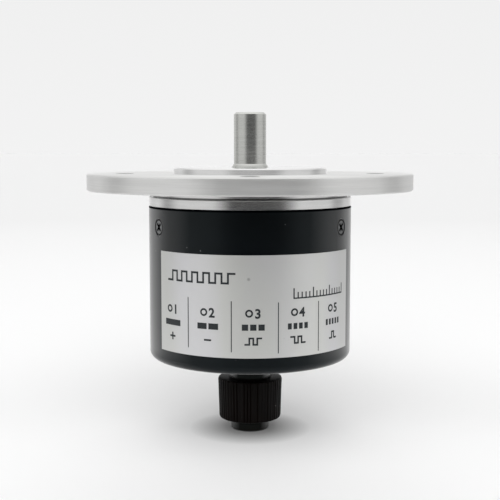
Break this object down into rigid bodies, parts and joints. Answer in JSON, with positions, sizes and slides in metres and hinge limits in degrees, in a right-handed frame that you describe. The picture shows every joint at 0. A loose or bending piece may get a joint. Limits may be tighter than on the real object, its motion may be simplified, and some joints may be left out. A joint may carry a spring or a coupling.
{
  "type": "incremental rotary encoder",
  "caption": "Shaft encoder in a black cylindrical housing with a round aluminium mounting flange, solid shaft, foil label and a rear plug with a ribbed coupling nut.",
  "frame": {"origin": "centre of the flange's mounting face, on the shaft axis", "axes": "+Z along the shaft, out of the flange; -Y towards the middle of the label"},
  "size_m": [0.08, 0.08, 0.0792],
  "materials": {
    "turned_aluminium": "fine turned, satin",
    "bright_steel": "zinc plated",
    "bearing_steel": "ground",
    "ball_steel": "polished",
    "cage_brass": "stamped",
    "spring_steel": "blued",
    "polished_steel": "ground and polished",
    "hub_aluminium": "turned",
    "disc_steel": "etched",
    "satin_black": "satin",
    "black_screw": "black oxide",
    "black_rubber": "matte",
    "label_foil": "matte foil",
    "plug_metal": "dark nickel",
    "nut_black": "satin",
    "black_plastic": "moulded",
    "white_plastic": "moulded",
    "clear_plastic": "moulded lens",
    "dark_gloss": "gloss",
    "mask_chrome": "plated",
    "green_board": "solder mask",
    "brass": "turned",
    "capacitor_can": "drawn",
    "resistor_body": "fired",
    "gold_pins": "gold plated",
    "wire_red": "insulation",
    "wire_black": "insulation",
    "wire_white": "insulation",
    "wire_green": "insulation",
    "wire_yellow": "insulation"
  },
  "bodies": {
    "stator": {"bearing_housing": "turned_aluminium", "flange_plate": "turned_aluminium", "flange_screws": "bright_steel", "front_bearing_outer_ring": "bearing_steel", "rear_bearing_outer_ring": "bearing_steel", "preload_spring": "spring_steel", "bearing_retaining_ring": "spring_steel", "sensor_head": "black_plastic", "light_emitter": "clear_plastic", "photodetector": "dark_gloss", "reticle_mask": "mask_chrome", "circuit_board": "green_board", "board_standoffs": "brass", "board_screws": "bright_steel", "board_chips": "black_plastic", "board_capacitors": "capacitor_can", "board_resistors": "resistor_body", "wire_header": "white_plastic", "lead_wire_red": "wire_red", "lead_wire_black": "wire_black", "lead_wire_white": "wire_white", "lead_wire_green": "wire_green", "lead_wire_yellow": "wire_yellow", "rear_cover": "satin_black", "cover_screws": "black_screw", "cover_seal": "black_rubber", "label": "label_foil", "connector_shell": "plug_metal", "connector_gasket": "black_rubber", "connector_panel_nut": "bright_steel", "connector_insert": "black_plastic", "contact_pins": "gold_pins", "nut_snap_ring": "spring_steel"},
    "rotor": {"shaft": "polished_steel", "shaft_collar": "polished_steel", "front_bearing_inner_ring": "bearing_steel", "rear_bearing_inner_ring": "bearing_steel", "disc_hub": "hub_aluminium", "code_disc": "disc_steel", "disc_clamp_washer": "bright_steel", "hub_screw": "bright_steel"},
    "front_ball_train": {"front_bearing_balls": "ball_steel", "front_bearing_cage": "cage_brass"},
    "rear_ball_train": {"rear_bearing_balls": "ball_steel", "rear_bearing_cage": "cage_brass"},
    "nut": {"coupling_nut": "nut_black"}
  },
  "joints": [
    {"name": "shaft_spin", "type": "hinge", "parent": "stator", "child": "rotor", "pos_m": [0, 0, 0], "axis": [0, 0, 1], "continuous": true},
    {"name": "front_cage_orbit", "type": "hinge", "parent": "stator", "child": "front_ball_train", "pos_m": [0, 0, -0.002], "axis": [0, 0, 1], "continuous": true},
    {"name": "rear_cage_orbit", "type": "hinge", "parent": "stator", "child": "rear_ball_train", "pos_m": [0, 0, -0.0134], "axis": [0, 0, 1], "continuous": true},
    {"name": "nut_spin", "type": "hinge", "parent": "stator", "child": "nut", "pos_m": [0, 0, -0.056], "axis": [0, 0, 1], "continuous": true}
  ],
  "couplings": [
    {"joint": "front_cage_orbit", "follows": "shaft_spin", "ratio": 0.41667},
    {"joint": "rear_cage_orbit", "follows": "shaft_spin", "ratio": 0.41667}
  ]
}
